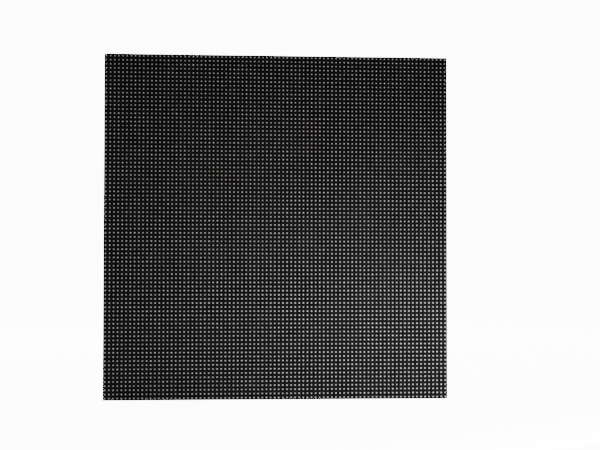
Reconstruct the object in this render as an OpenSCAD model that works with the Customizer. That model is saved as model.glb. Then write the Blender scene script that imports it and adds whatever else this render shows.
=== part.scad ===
// Square LED display module with a moulded mask, a lamp board and a ribbed rear frame.
// Millimetres. The display faces -Y, +Z is up in the picture, and the origin is the centre of
// the rear seat, the plane that meets the cabinet.

/* [Display] */
// Width and height of the square module
module_size = 250; // [205:1:300]
// Lamps along each side of the square
lamp_count = 84; // [64:2:96]
// Thickness of the mask in front of the board
mask_thickness = 1.9; // [1.5:0.1:2.4]
// Width of a mask bar between two rows of lamps
mask_bar = 0.6; // [0.4:0.05:0.8]
// Chamfer along the front edges of a mask bar
mask_chamfer = 0.1; // [0.05:0.01:0.15]
// Depth of the row bars, which pass in front of the column bars
visor_depth = 0.6; // [0.4:0.1:1]
// Gap between a lamp and the walls of its window
lamp_gap = 0.4; // [0.3:0.05:0.6]
// Height of a lamp over the board
lamp_height = 1.3; // [0.8:0.1:1.4]

/* [Lamp board] */
// Thickness of the circuit board
board_thickness = 1.6; // [1:0.2:2.4]
// Gap from the board's edge to the outline of the module
board_inset = 0.2; // [0.1:0.05:0.4]

/* [Rear frame] */
// Depth of the rear frame, from its seat to the board
frame_depth = 11.5; // [11.2:0.1:14]
// Thickness of the frame's outer wall
frame_wall = 1.8; // [1.4:0.1:2.4]
// Thickness of the frame's back plate
back_plate = 2.2; // [1.6:0.1:3]
// Width of the plate along the outer edge
rim_width = 13; // [12.6:0.1:15.6]
// Width of the middle cross
cross_width = 12; // [11:0.5:14]
// Width of the plate strip on each quarter rib
strip_width = 5; // [4:0.5:7]
// Thickness of the ribs that bear on the board
rib_thickness = 1.6; // [1.2:0.1:2]
// Radius of the window corners
window_radius = 3; // [2:0.5:5]
// Side of the corner pads that carry the inserts
pad_size = 24; // [20:1:28]

/* [Fastening] */
// Distance from the module's edge to an insert's axis
insert_margin = 14; // [12:0.5:16]
// Outer diameter of a brass insert
insert_diameter = 5.8; // [5:0.1:6.4]
// Tapping bore of an insert, for an M4 thread
insert_bore = 3.3; // [3:0.1:3.5]
// Length of an insert
insert_length = 8; // [6:0.5:8.5]
// Diameter of the screws that hold the board
screw_diameter = 2.5; // [2:0.1:3]
// Diameter of those screws' heads
screw_head = 4.6; // [4:0.1:5]
// Outer diameter of the nuts soldered to the board
nut_diameter = 5.2; // [4.8:0.1:5.6]
// Height of those nuts
nut_height = 3; // [2.4:0.1:3.4]
// Diameter of a disc magnet
magnet_diameter = 10; // [8:0.5:10.5]
// Thickness of a disc magnet
magnet_thickness = 3; // [2:0.5:3.5]
// Diameter of the two locating pins
dowel_diameter = 5; // [4:0.5:6]
// Height of the locating pins over the seat
dowel_height = 4.5; // [3:0.5:6]

/* [Connectors] */
// Contacts in each row of a signal header
signal_contacts = 8; // [5:1:10]
// Contacts of the power header
power_contacts = 4; // [2:1:4]

/* [Hidden] */
$fn = 48;

// What a cutter runs past the face that it opens
past = 1;
// Running gap round a piece that drops into a pocket
slip_gap = 0.05;
// Gap left where a clamped joint closes
clamp_gap = 0.1;

// Depth stations, measured forwards from the seat
board_rear = frame_depth;
board_front = board_rear + board_thickness;
mask_front = board_front + mask_thickness;

// Lamp grid
pitch = module_size / lamp_count;
half = module_size / 2;
window = pitch - mask_bar;
lamp_diameter = window - 2 * lamp_gap;
column_front = mask_thickness - visor_depth;
// Hair gap that keeps each row bar and column bar a plain strip between the edge walls
bar_gap = 0.02;
// Injection gate at the middle of the mask
gate_diameter = 0.9;
gate_height = 0.15;

// Plan of the rear frame
frame_half = half - board_inset;
rim_inner = half - rim_width;
rim_line = half - rim_width / 2;
cross_half = cross_width / 2;
rib_line = (rim_inner + cross_half) / 2;
window_near = (cross_half + rib_line) / 2;
window_far = (rib_line + rim_inner) / 2;
chip_offset = (rib_line - cross_half) / 4;
insert_line = half - insert_margin;
outline_radius = 0.8;
rear_chamfer = 0.8;

// Bosses of the rear frame
screw_clearance = 0.15;
screw_boss = 10;
head_height = 1.8;
head_recess = 0.4;
clamp_web = 2.4;
seat_depth = board_rear - nut_height - clamp_gap - clamp_web;
insert_boss = insert_diameter + 4.6;
insert_floor = 1.3;
insert_depth = insert_length + slip_gap;
magnet_boss = magnet_diameter + 2.4;
magnet_floor = 1.4;
dowel_chamfer = 0.6;
nut_clearance = 0.4;

// Moulded pins of the mask, heat staked behind the board
mask_pin_diameter = 1;
mask_pin_inset = 4.5;
mask_pin_gap = 0.1;
stake_diameter = 1.9;
stake_height = 0.6;

// Chip packages: length, body width, height
driver_size = [8.65, 3.9, 1.5];
row_driver_size = [9.9, 3.9, 1.5];
buffer_size = [6.5, 4.4, 1.1];
chip_draft = 0.25;
chip_standoff = 0.1;
// Chip bodies and the small parts beside them
capacitor_size = [1.6, 0.8, 0.8];
capacitor_step = 6.4;
array_size = [3.2, 1.6, 0.6];
array_step = 6.6;
can_diameter = 6.3;
can_height = 7.7;
can_base = 6.6;
can_base_height = 1.1;
can_step = 4;

// Box header for the ribbon cable
header_pitch = 2.54;
header_width = 8.9;
header_height = 9;
header_wall = 1.2;
header_floor = 2.4;
header_end = 3.8;
header_key = 4.5;
header_length = signal_contacts * header_pitch + 2 * header_end;
signal_pin = 0.64;
signal_pin_height = 8;
signal_foot = 5.4;
foot_thickness = 0.5;

// Friction lock header for the supply
power_pitch = 3.96;
power_width = 8.4;
power_base = 3.2;
power_height = 9;
power_back = 1.4;
power_end = 1.5;
power_length = (power_contacts - 1) * power_pitch + 2 * power_end + power_pitch / 2;
power_pin = 1.14;
power_pin_height = 9.4;
power_foot = 5.6;

// Places of the parts on the board, seen from the front
signs = [-1, 1];
window_places = [-window_far, -window_near, window_near, window_far];
chip_places = [for (place = window_places, side = signs) place + side * chip_offset];
mask_pin_targets = [cross_half + mask_pin_inset, rib_line + mask_pin_inset];
mask_pin_places = [
  for (target = mask_pin_targets, side = signs) side * round(target / pitch) * pitch
];
signal_in_place = [window_far, window_near];
signal_out_place = [-window_far, window_near];
power_place = [window_near, -window_near];
can_place = [-window_near, -window_near];
connector_places = [signal_in_place, signal_out_place, power_place, can_place];
row_driver_places = [
  for (x = window_places, y = window_places)
    if (len([for (taken = connector_places) if (taken == [x, y]) taken]) == 0) [x, y]
];
screw_places = concat(
  [for (side = signs) [0, side * rim_line]],
  [for (side = signs) [side * rim_line, 0]],
  [for (side = signs) [0, side * rib_line]],
  [for (side = signs) [side * rib_line, 0]],
  [for (a = signs, b = signs) [a * rib_line, b * rim_line]],
  [for (a = signs, b = signs) [a * rim_line, b * rib_line]]
);
insert_places = [for (a = signs, b = signs) [a * insert_line, b * insert_line]];
magnet_places = [for (a = signs, b = signs) [a * window_far, b * rim_line]];
dowel_places = [for (side = signs) [side * rim_line, side * window_near]];

// Stands the parts up: they are drawn lying on the seat, with the display towards +Z.
module upright() {
  rotate([90, 0, 0]) children();
}

// Repeats its children at each plan place.
module at_each(places) {
  for (place = places) translate([place.x, place.y, 0]) children();
}

// Puts a part on the rear face of the board, drawn upwards from its solder side.
module on_board(place, turn = 0) {
  translate([place.x, place.y, board_rear]) rotate([180, 0, turn]) children();
}

module rounded_square(size, radius) {
  square([size.x, size.y - 2 * radius], center = true);
  square([size.x - 2 * radius, size.y], center = true);
  for (a = signs, b = signs)
    translate([a * (size.x / 2 - radius), b * (size.y / 2 - radius)]) circle(radius);
}

// Section of a slot between two bars, flared by the chamfer at its front.
module slot_section(floor, front) {
  mouth = window / 2 + mask_chamfer;
  polygon([
    [-window / 2, floor], [window / 2, floor],
    [window / 2, front - mask_chamfer], [mouth, front], [mouth, front + past],
    [-mouth, front + past], [-mouth, front], [-window / 2, front - mask_chamfer]
  ]);
}

// Slots over the rows of lamps, cut from the front as deep as the row bars.
module row_slots() {
  reach = module_size - mask_bar;
  for (row = [0:lamp_count - 1])
    translate([-reach / 2, (row + 0.5) * pitch - half, 0])
      rotate([90, 0, 90]) linear_extrude(reach) slot_section(column_front + bar_gap, mask_thickness);
}

// Slots over the columns of lamps, cut from the rear up to the row bars.
module column_slots() {
  reach = module_size - mask_bar;
  for (column = [0:lamp_count - 1])
    translate([(column + 0.5) * pitch - half - window / 2, -reach / 2, -past])
      cube([window, reach, column_front + past]);
}

// Mask pin with its staked head, drawn from the mask's rear face.
module mask_pin() {
  r = mask_pin_diameter / 2;
  seat = -board_thickness;
  rotate_extrude()
    polygon([
      [0, column_front / 2], [r, column_front / 2], [r, seat], [stake_diameter / 2, seat],
      [stake_diameter / 2, seat - stake_height / 2], [r, seat - stake_height], [0, seat - stake_height]
    ]);
}

module front_mask() {
  reach = module_size - mask_bar;
  color([0.07, 0.07, 0.08]) upright() translate([0, 0, board_front]) union() {
    difference() {
      linear_extrude(mask_thickness) square(module_size, center = true);
      row_slots();
      column_slots();
      translate([-reach / 2, -reach / 2, column_front - bar_gap]) cube([reach, reach, 3 * bar_gap]);
    }
    cylinder(d = gate_diameter, h = mask_thickness + gate_height);
    for (x = mask_pin_places, y = mask_pin_places) translate([x, y, 0]) mask_pin();
  }
}

module circuit_board() {
  color([0.03, 0.06, 0.05]) upright() translate([0, 0, board_rear]) difference() {
    linear_extrude(board_thickness) rounded_square([2 * frame_half, 2 * frame_half], outline_radius);
    for (x = mask_pin_places, y = mask_pin_places)
      translate([x, y, -past])
        cylinder(d = mask_pin_diameter + 2 * mask_pin_gap, h = board_thickness + 2 * past);
  }
}

// Lamps of one quarter of the display, each a round resin body that stands on the board.
module lamp_bank(right, up) {
  last = lamp_count / 2 - 1;
  color([0.85, 0.83, 0.78]) upright()
    for (column = [0:last], row = [0:last])
      translate([right * (column + 0.5) * pitch, up * (row + 0.5) * pitch, board_front])
        cylinder(d = lamp_diameter, h = lamp_height);
}

module lamps_upper_left() {
  lamp_bank(-1, 1);
}

module lamps_upper_right() {
  lamp_bank(1, 1);
}

module lamps_lower_left() {
  lamp_bank(-1, -1);
}

module lamps_lower_right() {
  lamp_bank(1, -1);
}

// Moulded body of a chip, widest at the parting line halfway up.
module chip(size) {
  waist = size.y / 2;
  top = waist - chip_draft;
  translate([0, 0, chip_standoff]) rotate([90, 0, 0])
    linear_extrude(size.x, center = true)
      polygon([
        [-top, 0], [top, 0], [waist, size.z / 2], [top, size.z], [-top, size.z], [-waist, size.z / 2]
      ]);
}

module driver_chips() {
  color([0.06, 0.06, 0.06]) upright()
    for (x = chip_places, y = chip_places) on_board([x, y]) chip(driver_size);
}

module row_driver_chips() {
  color([0.06, 0.06, 0.06]) upright()
    for (place = row_driver_places) on_board(place) chip(row_driver_size);
}

// Two buffers stand beside each signal header, between its driver chips.
module buffer_chips() {
  color([0.06, 0.06, 0.06]) upright()
    for (header = [signal_in_place, signal_out_place], side = signs)
      on_board(header + [side * chip_offset, 0], 90) chip(buffer_size);
}

module decoupling_capacitors() {
  color([0.62, 0.5, 0.36]) upright()
    for (x = chip_places, y = chip_places)
      on_board([x, y + capacitor_step]) translate([0, 0, capacitor_size.z / 2])
        cube(capacitor_size, center = true);
}

module resistor_arrays() {
  color([0.1, 0.1, 0.12]) upright()
    for (place = row_driver_places)
      on_board(place - [0, row_driver_size.x / 2 + array_step / 2])
        translate([0, 0, array_size.z / 2]) cube(array_size, center = true);
}

// Aluminium can with its crimp groove, on a square moulded base.
module can_capacitor() {
  groove_height = can_base_height + 1.2;
  groove_depth = 0.3;
  r = can_diameter / 2;
  linear_extrude(can_base_height) rounded_square([can_base, can_base], 0.6);
  rotate_extrude()
    polygon([
      [0, 0.5], [r, 0.5], [r, groove_height - groove_depth], [r - groove_depth, groove_height],
      [r, groove_height + groove_depth], [r, can_height - 0.4], [r - 0.4, can_height], [0, can_height]
    ]);
}

module bulk_capacitors() {
  color([0.75, 0.76, 0.78]) upright()
    for (a = signs, b = signs)
      on_board(can_place + can_step * [a, b]) can_capacitor();
}

// Box header: an open tray round the pins, with a key slot in one long wall.
module box_header() {
  inner = [header_length - 2 * header_wall, header_width - 2 * header_wall];
  hole = signal_pin + 2 * slip_gap;
  difference() {
    translate([0, 0, foot_thickness]) linear_extrude(header_height - foot_thickness)
      square([header_length, header_width], center = true);
    translate([0, 0, header_floor]) linear_extrude(header_height) square(inner, center = true);
    translate([-header_key / 2, 0, header_floor]) cube([header_key, header_width, header_height]);
    for (spot = signal_pin_places)
      translate([spot.x - hole / 2, spot.y - hole / 2, -past]) cube([hole, hole, header_height]);
  }
}

signal_pin_places = [
  for (contact = [0:signal_contacts - 1], side = signs)
    [(contact - (signal_contacts - 1) / 2) * header_pitch, side * header_pitch / 2]
];

// Header pin with a foot bent outwards along the board.
module bent_pin(width, height, foot) {
  translate([-width / 2, 0, 0]) rotate([90, 0, 90]) linear_extrude(width)
    polygon([
      [-width / 2, 0], [foot, 0], [foot, foot_thickness - slip_gap],
      [width / 2, foot_thickness - slip_gap], [width / 2, height], [-width / 2, height]
    ]);
}

module signal_pins() {
  for (spot = signal_pin_places)
    translate([spot.x, spot.y, 0]) rotate([0, 0, spot.y > 0 ? 0 : 180])
      bent_pin(signal_pin, signal_pin_height, signal_foot - header_pitch / 2);
}

module signal_in_header() {
  color([0.08, 0.08, 0.08]) upright() on_board(signal_in_place, 90) box_header();
}

module signal_in_pins() {
  color([0.85, 0.7, 0.3]) upright() on_board(signal_in_place, 90) signal_pins();
}

module signal_out_header() {
  color([0.08, 0.08, 0.08]) upright() on_board(signal_out_place, 90) box_header();
}

module signal_out_pins() {
  color([0.85, 0.7, 0.3]) upright() on_board(signal_out_place, 90) signal_pins();
}

// Side of the supply header: a low base with a tall lock wall behind the pins.
module power_section() {
  back = -power_width / 2;
  polygon([
    [back, foot_thickness], [power_width / 2, foot_thickness], [power_width / 2, power_base],
    [back + power_back, power_base], [back + power_back, power_height], [back, power_height]
  ]);
}

power_pin_places = [
  for (contact = [0:power_contacts - 1])
    [(contact - (power_contacts - 1) / 2) * power_pitch, power_back / 2]
];

module power_header() {
  hole = power_pin + 2 * slip_gap;
  color([0.92, 0.9, 0.84]) upright() on_board(power_place) difference() {
    translate([-power_length / 2, 0, 0]) rotate([90, 0, 90])
      linear_extrude(power_length) power_section();
    for (spot = power_pin_places)
      translate([spot.x - hole / 2, spot.y - hole / 2, -past]) cube([hole, hole, power_height]);
  }
}

module power_pins() {
  color([0.8, 0.8, 0.82]) upright() on_board(power_place)
    for (spot = power_pin_places)
      translate([spot.x, spot.y, 0]) bent_pin(power_pin, power_pin_height, power_foot);
}

// Plan of the back plate: a rim and a cross with sixteen windows between the ribs.
module plate_plan() {
  near = [cross_half, rib_line - strip_width / 2];
  far = [rib_line + strip_width / 2, rim_inner];
  spans = [near, far];
  difference() {
    rounded_square([2 * frame_half, 2 * frame_half], outline_radius);
    for (a = signs, b = signs, across = spans, up = spans)
      translate([a * (across[0] + across[1]) / 2, b * (up[0] + up[1]) / 2])
        rounded_square([across[1] - across[0], up[1] - up[0]], window_radius);
  }
  for (a = signs, b = signs)
    translate([a * (half - board_inset - pad_size / 2), b * (half - board_inset - pad_size / 2)])
      rounded_square([pad_size, pad_size], outline_radius);
}

// Ribs that bear on the board: pairs along the cross, single ones on the quarter lines.
module rib_plan() {
  reach = 2 * (frame_half - frame_wall / 2);
  offsets = [-rib_line, -(cross_half - rib_thickness / 2), cross_half - rib_thickness / 2, rib_line];
  for (offset = offsets) {
    translate([offset, 0]) square([rib_thickness, reach], center = true);
    translate([0, offset]) square([reach, rib_thickness], center = true);
  }
}

module wall_plan() {
  difference() {
    rounded_square([2 * frame_half, 2 * frame_half], outline_radius);
    square(2 * (frame_half - frame_wall), center = true);
  }
}

// Webs that tie an insert boss to both outer walls at its corner.
module boss_webs(place) {
  toward = [sign(place.x), sign(place.y)];
  length = frame_half - frame_wall / 2 - insert_line;
  linear_extrude(insert_depth + insert_floor) {
    translate([place.x + toward.x * length / 2, place.y]) square([length, rib_thickness], center = true);
    translate([place.x, place.y + toward.y * length / 2]) square([rib_thickness, length], center = true);
  }
}

// Bevel round the rear edge, which lets the module be tilted out past its neighbours.
module rear_bevel() {
  side = rear_chamfer * sqrt(2);
  for (turn = [0, 90, 180, 270])
    rotate([0, 0, turn]) translate([frame_half, 0, 0])
      rotate([0, 45, 0]) cube([side, module_size + past, side], center = true);
}

// Locating pin, standing behind the seat.
module dowel() {
  r = dowel_diameter / 2;
  rotate_extrude()
    polygon([
      [0, back_plate / 2], [r, back_plate / 2], [r, dowel_chamfer - dowel_height],
      [r - dowel_chamfer, -dowel_height], [0, -dowel_height]
    ]);
}

module rear_frame() {
  color([0.1, 0.1, 0.11]) upright() difference() {
    union() {
      linear_extrude(back_plate) plate_plan();
      linear_extrude(board_rear) wall_plan();
      linear_extrude(board_rear) rib_plan();
      at_each(screw_places) cylinder(d = screw_boss, h = seat_depth + clamp_web);
      at_each(insert_places) cylinder(d = insert_boss, h = insert_depth + insert_floor);
      for (place = insert_places) boss_webs(place);
      at_each(magnet_places) cylinder(d = magnet_boss, h = magnet_thickness + magnet_floor);
      at_each(dowel_places) dowel();
    }
    rear_bevel();
    at_each(screw_places) {
      translate([0, 0, -past]) cylinder(d = screw_head + 2 * head_recess, h = seat_depth + past);
      cylinder(d = screw_diameter + 2 * screw_clearance, h = board_rear);
      translate([0, 0, seat_depth + clamp_web])
        cylinder(d = nut_diameter + 2 * nut_clearance, h = board_rear);
    }
    at_each(insert_places) translate([0, 0, -past])
      cylinder(d = insert_diameter + 2 * slip_gap, h = insert_depth + past);
    at_each(magnet_places) translate([0, 0, -past])
      cylinder(d = magnet_diameter + 2 * slip_gap, h = magnet_thickness + past + slip_gap);
  }
}

module mounting_inserts() {
  color([0.8, 0.63, 0.3]) upright() at_each(insert_places) difference() {
    cylinder(d = insert_diameter, h = insert_length);
    translate([0, 0, -past]) cylinder(d = insert_bore, h = insert_length + 2 * past);
  }
}

module board_nuts() {
  thread_gap = 0.05;
  color([0.8, 0.63, 0.3]) upright() translate([0, 0, board_rear - nut_height])
    at_each(screw_places) difference() {
      cylinder(d = nut_diameter, h = nut_height);
      translate([0, 0, -past])
        cylinder(d = screw_diameter + thread_gap, h = nut_height + 2 * past);
    }
}

// Pan head screw, driven forwards from the rear into its nut.
module frame_screw() {
  r = screw_head / 2;
  crown = 0.5;
  tip_gap = 0.6;
  socket = 1.3;
  socket_depth = 1;
  difference() {
    rotate_extrude()
      polygon([
        [0, -head_height], [r - crown, -head_height], [r, crown - head_height], [r, 0],
        [screw_diameter / 2, 0], [screw_diameter / 2, board_rear - seat_depth - tip_gap],
        [0, board_rear - seat_depth - tip_gap]
      ]);
    for (turn = [0, 90]) rotate([0, 0, turn])
      translate([-socket, -socket / 4, -head_height - past])
        cube([2 * socket, socket / 2, socket_depth + past]);
  }
}

module frame_screws() {
  color([0.7, 0.7, 0.72]) upright() translate([0, 0, seat_depth]) at_each(screw_places) frame_screw();
}

module magnets() {
  color([0.78, 0.79, 0.8]) upright() at_each(magnet_places)
    cylinder(d = magnet_diameter, h = magnet_thickness);
}

front_mask();
circuit_board();
lamps_upper_left();
lamps_upper_right();
lamps_lower_left();
lamps_lower_right();
driver_chips();
row_driver_chips();
buffer_chips();
decoupling_capacitors();
resistor_arrays();
bulk_capacitors();
power_header();
power_pins();
signal_in_header();
signal_in_pins();
signal_out_header();
signal_out_pins();
rear_frame();
mounting_inserts();
board_nuts();
frame_screws();
magnets();
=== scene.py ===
# %% [markdown]
# # A square LED display module
#
# The module is a tile of a video wall. Seen from the front it is a black moulded lattice with a
# small white lamp in every window. Behind it are a circuit board and a ribbed black frame.
# The construction comes packed as a fixed frame in metres: the display faces -Y, +Z is up, and
# the origin is the centre of the rear seat. This lesson adds the finishes and the fine pieces.

# %% Load the construction
import math
import bmesh
import bpy
import numpy as np
from mathutils import Matrix, Vector


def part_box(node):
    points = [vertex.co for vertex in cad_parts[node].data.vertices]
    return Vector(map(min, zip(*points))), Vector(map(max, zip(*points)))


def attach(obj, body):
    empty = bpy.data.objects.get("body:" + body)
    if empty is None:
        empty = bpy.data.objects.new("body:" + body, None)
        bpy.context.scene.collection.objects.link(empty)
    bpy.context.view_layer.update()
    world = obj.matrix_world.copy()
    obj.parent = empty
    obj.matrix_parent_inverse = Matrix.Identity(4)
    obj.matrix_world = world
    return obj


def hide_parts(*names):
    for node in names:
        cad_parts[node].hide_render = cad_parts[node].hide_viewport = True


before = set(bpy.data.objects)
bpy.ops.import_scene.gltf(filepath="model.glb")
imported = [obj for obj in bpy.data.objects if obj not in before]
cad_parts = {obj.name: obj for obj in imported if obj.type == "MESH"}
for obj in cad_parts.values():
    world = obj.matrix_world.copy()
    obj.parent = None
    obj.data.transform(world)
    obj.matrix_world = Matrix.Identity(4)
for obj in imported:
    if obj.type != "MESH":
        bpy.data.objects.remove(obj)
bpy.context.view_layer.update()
print("nodes:", len(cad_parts))

# %% [markdown]
# ## Sizes that everything hangs on
#
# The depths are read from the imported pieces, so the fine work sits on them by itself. The lamp
# grid has 84 lamps a side, with half a pitch of mask outside the last lamp.

# %% Sizes
MM = 0.001
LAMPS = 84
mask_low, mask_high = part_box("front_mask")
board_low, board_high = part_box("circuit_board")
GATE_HEIGHT = 0.15 * MM
SIDE = mask_high[0] - mask_low[0]
HALF = SIDE / 2
PITCH = SIDE / LAMPS
MASK_FRONT = mask_low[1] + GATE_HEIGHT
BOARD_FRONT = board_low[1]
BOARD_REAR = board_high[1]
print(f"pitch {PITCH / MM:.3f} mm, mask {(BOARD_FRONT - MASK_FRONT) / MM:.2f} mm deep")

# %% [markdown]
# ## Making a mesh from arrays
#
# Seven thousand lamps are too many for one operator call each. Every repeated piece is therefore
# built once as a small list of points and faces, copied to all its places as one array, and
# handed to Blender in one go.

# %% One object from points and faces
SHARP = math.radians(40)


def add_piece(name, points, faces, material, slot, smooth=False):
    """One object from arrays of points and faces, riding on the single body. Its faces are turned
    outwards, and a smooth piece keeps the edges that are sharper than SHARP."""
    mesh = bpy.data.meshes.new(name)
    mesh.from_pydata([tuple(p) for p in points], [], [tuple(f) for f in faces])
    mesh.validate()
    shape = bmesh.new()
    shape.from_mesh(mesh)
    bmesh.ops.recalc_face_normals(shape, faces=shape.faces)
    shape.to_mesh(mesh)
    shape.free()
    mesh.polygons.foreach_set("use_smooth", [smooth] * len(mesh.polygons))
    if smooth:
        mesh.set_sharp_from_angle(angle=SHARP)
    mesh.materials.append(material)
    piece = bpy.data.objects.new(name, mesh)
    bpy.context.scene.collection.objects.link(piece)
    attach(piece, "root")
    triangles = sum(len(p.vertices) - 2 for p in mesh.polygons)
    print(f"{name}: {triangles} triangles")
    return piece


print(f"edges that turn by more than {math.degrees(SHARP):.0f} degrees stay sharp")


# %% Copies, walls and turned shapes
def repeat(points, faces, places):
    """The same small shape at every place: one array of points and one list of faces."""
    points = np.asarray(points, float)
    places = np.asarray(places, float)
    cloud = (places[:, None, :] + points[None, :, :]).reshape(-1, 3)
    every = [tuple(i + n * len(points) for i in face) for n in range(len(places)) for face in faces]
    return cloud, every


def joined(*parts):
    """Several (points, faces) pairs as one pair."""
    clouds, every, count = [], [], 0
    for points, faces in parts:
        clouds.append(np.asarray(points, float))
        every += [tuple(i + count for i in face) for face in faces]
        count += len(points)
    return np.concatenate(clouds), every


def ring_walls(low, high, count=4):
    """The faces between two rings of corners, given by the number of each ring's first corner."""
    return [(low + k, low + (k + 1) % count, high + (k + 1) % count, high + k) for k in range(count)]


def lathe(profile, sides, closed=False):
    """A profile of (radius, depth) turned about Y. It ends in a point where the radius is zero,
    and it is a ring if closed."""
    points, rings, faces = [], [], []
    for radius, depth in profile:
        if radius == 0:
            rings.append([len(points)] * sides)
            points.append((0, depth, 0))
            continue
        rings.append(list(range(len(points), len(points) + sides)))
        for k in range(sides):
            angle = 2 * math.pi * k / sides
            points.append((radius * math.cos(angle), depth, radius * math.sin(angle)))
    if closed:
        rings.append(rings[0])
    for a, b in zip(rings, rings[1:]):
        for k in range(sides):
            n = (k + 1) % sides
            corners = [a[k], a[n], b[n], b[k]]
            faces.append(tuple(dict.fromkeys(corners)))
    return points, faces


cone = lathe([(0, 0), (1, 0), (0, 1)], sides=6)
print("a six-sided cone with its base has", len(cone[1]), "faces")

# %% [markdown]
# ## Shader groups that several finishes share
#
# A moulded plastic is never a flat colour: the tool leaves a fine grain, and the light finds soft
# patches where the resin flowed. One group makes that grain with named inputs, and each finish
# sets its own scale and strength. The Principled shader itself stays in each material.

# %% Shader helpers
def new_group(name, inputs, outputs):
    """An empty shader group with float inputs (name, default) and outputs (name, socket type)."""
    group = bpy.data.node_groups.new(name, "ShaderNodeTree")
    for title, value in inputs:
        socket = group.interface.new_socket(title, in_out="INPUT", socket_type="NodeSocketFloat")
        socket.default_value = value
    for title, kind in outputs:
        group.interface.new_socket(title, in_out="OUTPUT", socket_type=kind)
    start = group.nodes.new("NodeGroupInput")
    end = group.nodes.new("NodeGroupOutput")
    return group, start, end


def node(tree, kind, **settings):
    """A new node with some of its settings made."""
    made = tree.nodes.new(kind)
    for key, value in settings.items():
        setattr(made, key, value)
    return made


def feed(tree, socket, value):
    """Sets a socket to a number or a colour, or links another socket to it."""
    if isinstance(value, (int, float)):
        socket.default_value = value
    elif isinstance(value, tuple):
        socket.default_value = (*value, 1)
    else:
        tree.links.new(value, socket)


def math_node(tree, operation, *values):
    """A Math node fed by sockets or plain numbers."""
    made = node(tree, "ShaderNodeMath", operation=operation)
    for socket, value in zip(made.inputs, values):
        feed(tree, socket, value)
    return made.outputs[0]


def mix_color(tree, factor, a, b):
    """A colour mix; a and b are sockets or plain colours."""
    made = node(tree, "ShaderNodeMix", data_type="RGBA")
    for socket, value in ((made.inputs[0], factor), (made.inputs[6], a), (made.inputs[7], b)):
        feed(tree, socket, value)
    return made.outputs[2]


def grey(value):
    """A neutral colour of one brightness."""
    return (value, value, value)


def ramp(tree, value, stops):
    """A colour ramp with stops of (position, colour)."""
    made = node(tree, "ShaderNodeValToRGB")
    elements = made.color_ramp.elements
    while len(elements) < len(stops):
        elements.new(0.5)
    for element, (position, colour) in zip(elements, stops):
        element.position = position
        element.color = (*colour, 1)
    tree.links.new(value, made.inputs["Fac"])
    return made.outputs["Color"]


def object_place(tree):
    """The position on the object, in metres."""
    return node(tree, "ShaderNodeTexCoord").outputs["Object"]


def new_material(name):
    """A material, its tree and its Principled shader."""
    material = bpy.data.materials.new(name)
    material.use_nodes = True
    tree = material.node_tree
    return material, tree, tree.nodes["Principled BSDF"]


print("shader helpers are ready")

# %% Grain group
PATCHES_PER_METRE = 60.0


def make_grain():
    """Fine moulded or cast grain: a height for bump, and a broad mask of soft patches."""
    group, start, end = new_group(
        "fine_grain", [("Grain per metre", 4000.0), ("Patch per metre", PATCHES_PER_METRE)],
        [("Height", "NodeSocketFloat"), ("Patches", "NodeSocketFloat")])
    place = object_place(group)
    grain = node(group, "ShaderNodeTexNoise")
    grain.inputs["Detail"].default_value = 3
    group.links.new(place, grain.inputs["Vector"])
    group.links.new(start.outputs["Grain per metre"], grain.inputs["Scale"])
    patches = node(group, "ShaderNodeTexNoise")
    group.links.new(place, patches.inputs["Vector"])
    group.links.new(start.outputs["Patch per metre"], patches.inputs["Scale"])
    group.links.new(grain.outputs["Fac"], end.inputs["Height"])
    group.links.new(patches.outputs["Fac"], end.inputs["Patches"])
    return group


GRAIN = make_grain()


def place_grain(tree, grain, patch=PATCHES_PER_METRE):
    """Places the grain group with its own values and returns its two outputs."""
    made = node(tree, "ShaderNodeGroup", node_tree=GRAIN)
    made.inputs["Grain per metre"].default_value = grain
    made.inputs["Patch per metre"].default_value = patch
    return made.outputs["Height"], made.outputs["Patches"]


def add_bump(tree, shader, height, distance, strength=1.0):
    """A Bump node from a height to the shader's normal."""
    made = node(tree, "ShaderNodeBump")
    made.inputs["Strength"].default_value = strength
    made.inputs["Distance"].default_value = distance
    tree.links.new(height, made.inputs["Height"])
    tree.links.new(made.outputs["Normal"], shader.inputs["Normal"])


print("groups:", [group.name for group in bpy.data.node_groups])

# %% [markdown]
# The lamps' finish, and that of the mask round them, is drawn from the place on the grid. Dividing
# the position by the pitch gives a whole part, which is the lamp's own number and seeds its tint,
# and a fraction, which is the place within the lamp. One shader group serves the resin, the
# package and the mask.

# %% Lamp grid group
SPARE_CELLS = 4  # the count starts outside the mask, so that no cell's number is negative


def make_lamp_grid():
    """Whole cell number as a random value, and place within the cell in pitches, -0.5 to 0.5."""
    group, start, end = new_group(
        "lamp_grid", [("Pitch", PITCH)],
        [("Random", "NodeSocketFloat"), ("Tint", "NodeSocketColor"), ("Across", "NodeSocketFloat"),
         ("Up", "NodeSocketFloat"), ("Radius", "NodeSocketFloat")])
    parts = node(group, "ShaderNodeSeparateXYZ")
    group.links.new(object_place(group), parts.inputs[0])
    cell = node(group, "ShaderNodeCombineXYZ")
    local = []
    for number, axis in enumerate(("X", "Z")):
        from_start = math_node(group, "ADD", parts.outputs[axis], HALF + SPARE_CELLS * PITCH)
        turns = math_node(group, "DIVIDE", from_start, start.outputs["Pitch"])
        whole = math_node(group, "FLOOR", turns)
        group.links.new(whole, cell.inputs[number])
        local.append(math_node(group, "SUBTRACT", math_node(group, "SUBTRACT", turns, whole), 0.5))
    noise = node(group, "ShaderNodeTexWhiteNoise")
    group.links.new(cell.outputs[0], noise.inputs["Vector"])
    square = [math_node(group, "MULTIPLY", value, value) for value in local]
    radius = math_node(group, "SQRT", math_node(group, "ADD", *square))
    for title, socket in (("Random", noise.outputs["Value"]), ("Tint", noise.outputs["Color"]),
                          ("Across", local[0]), ("Up", local[1]), ("Radius", radius)):
        group.links.new(socket, end.inputs[title])
    return group


LAMP_GRID = make_lamp_grid()


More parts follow.
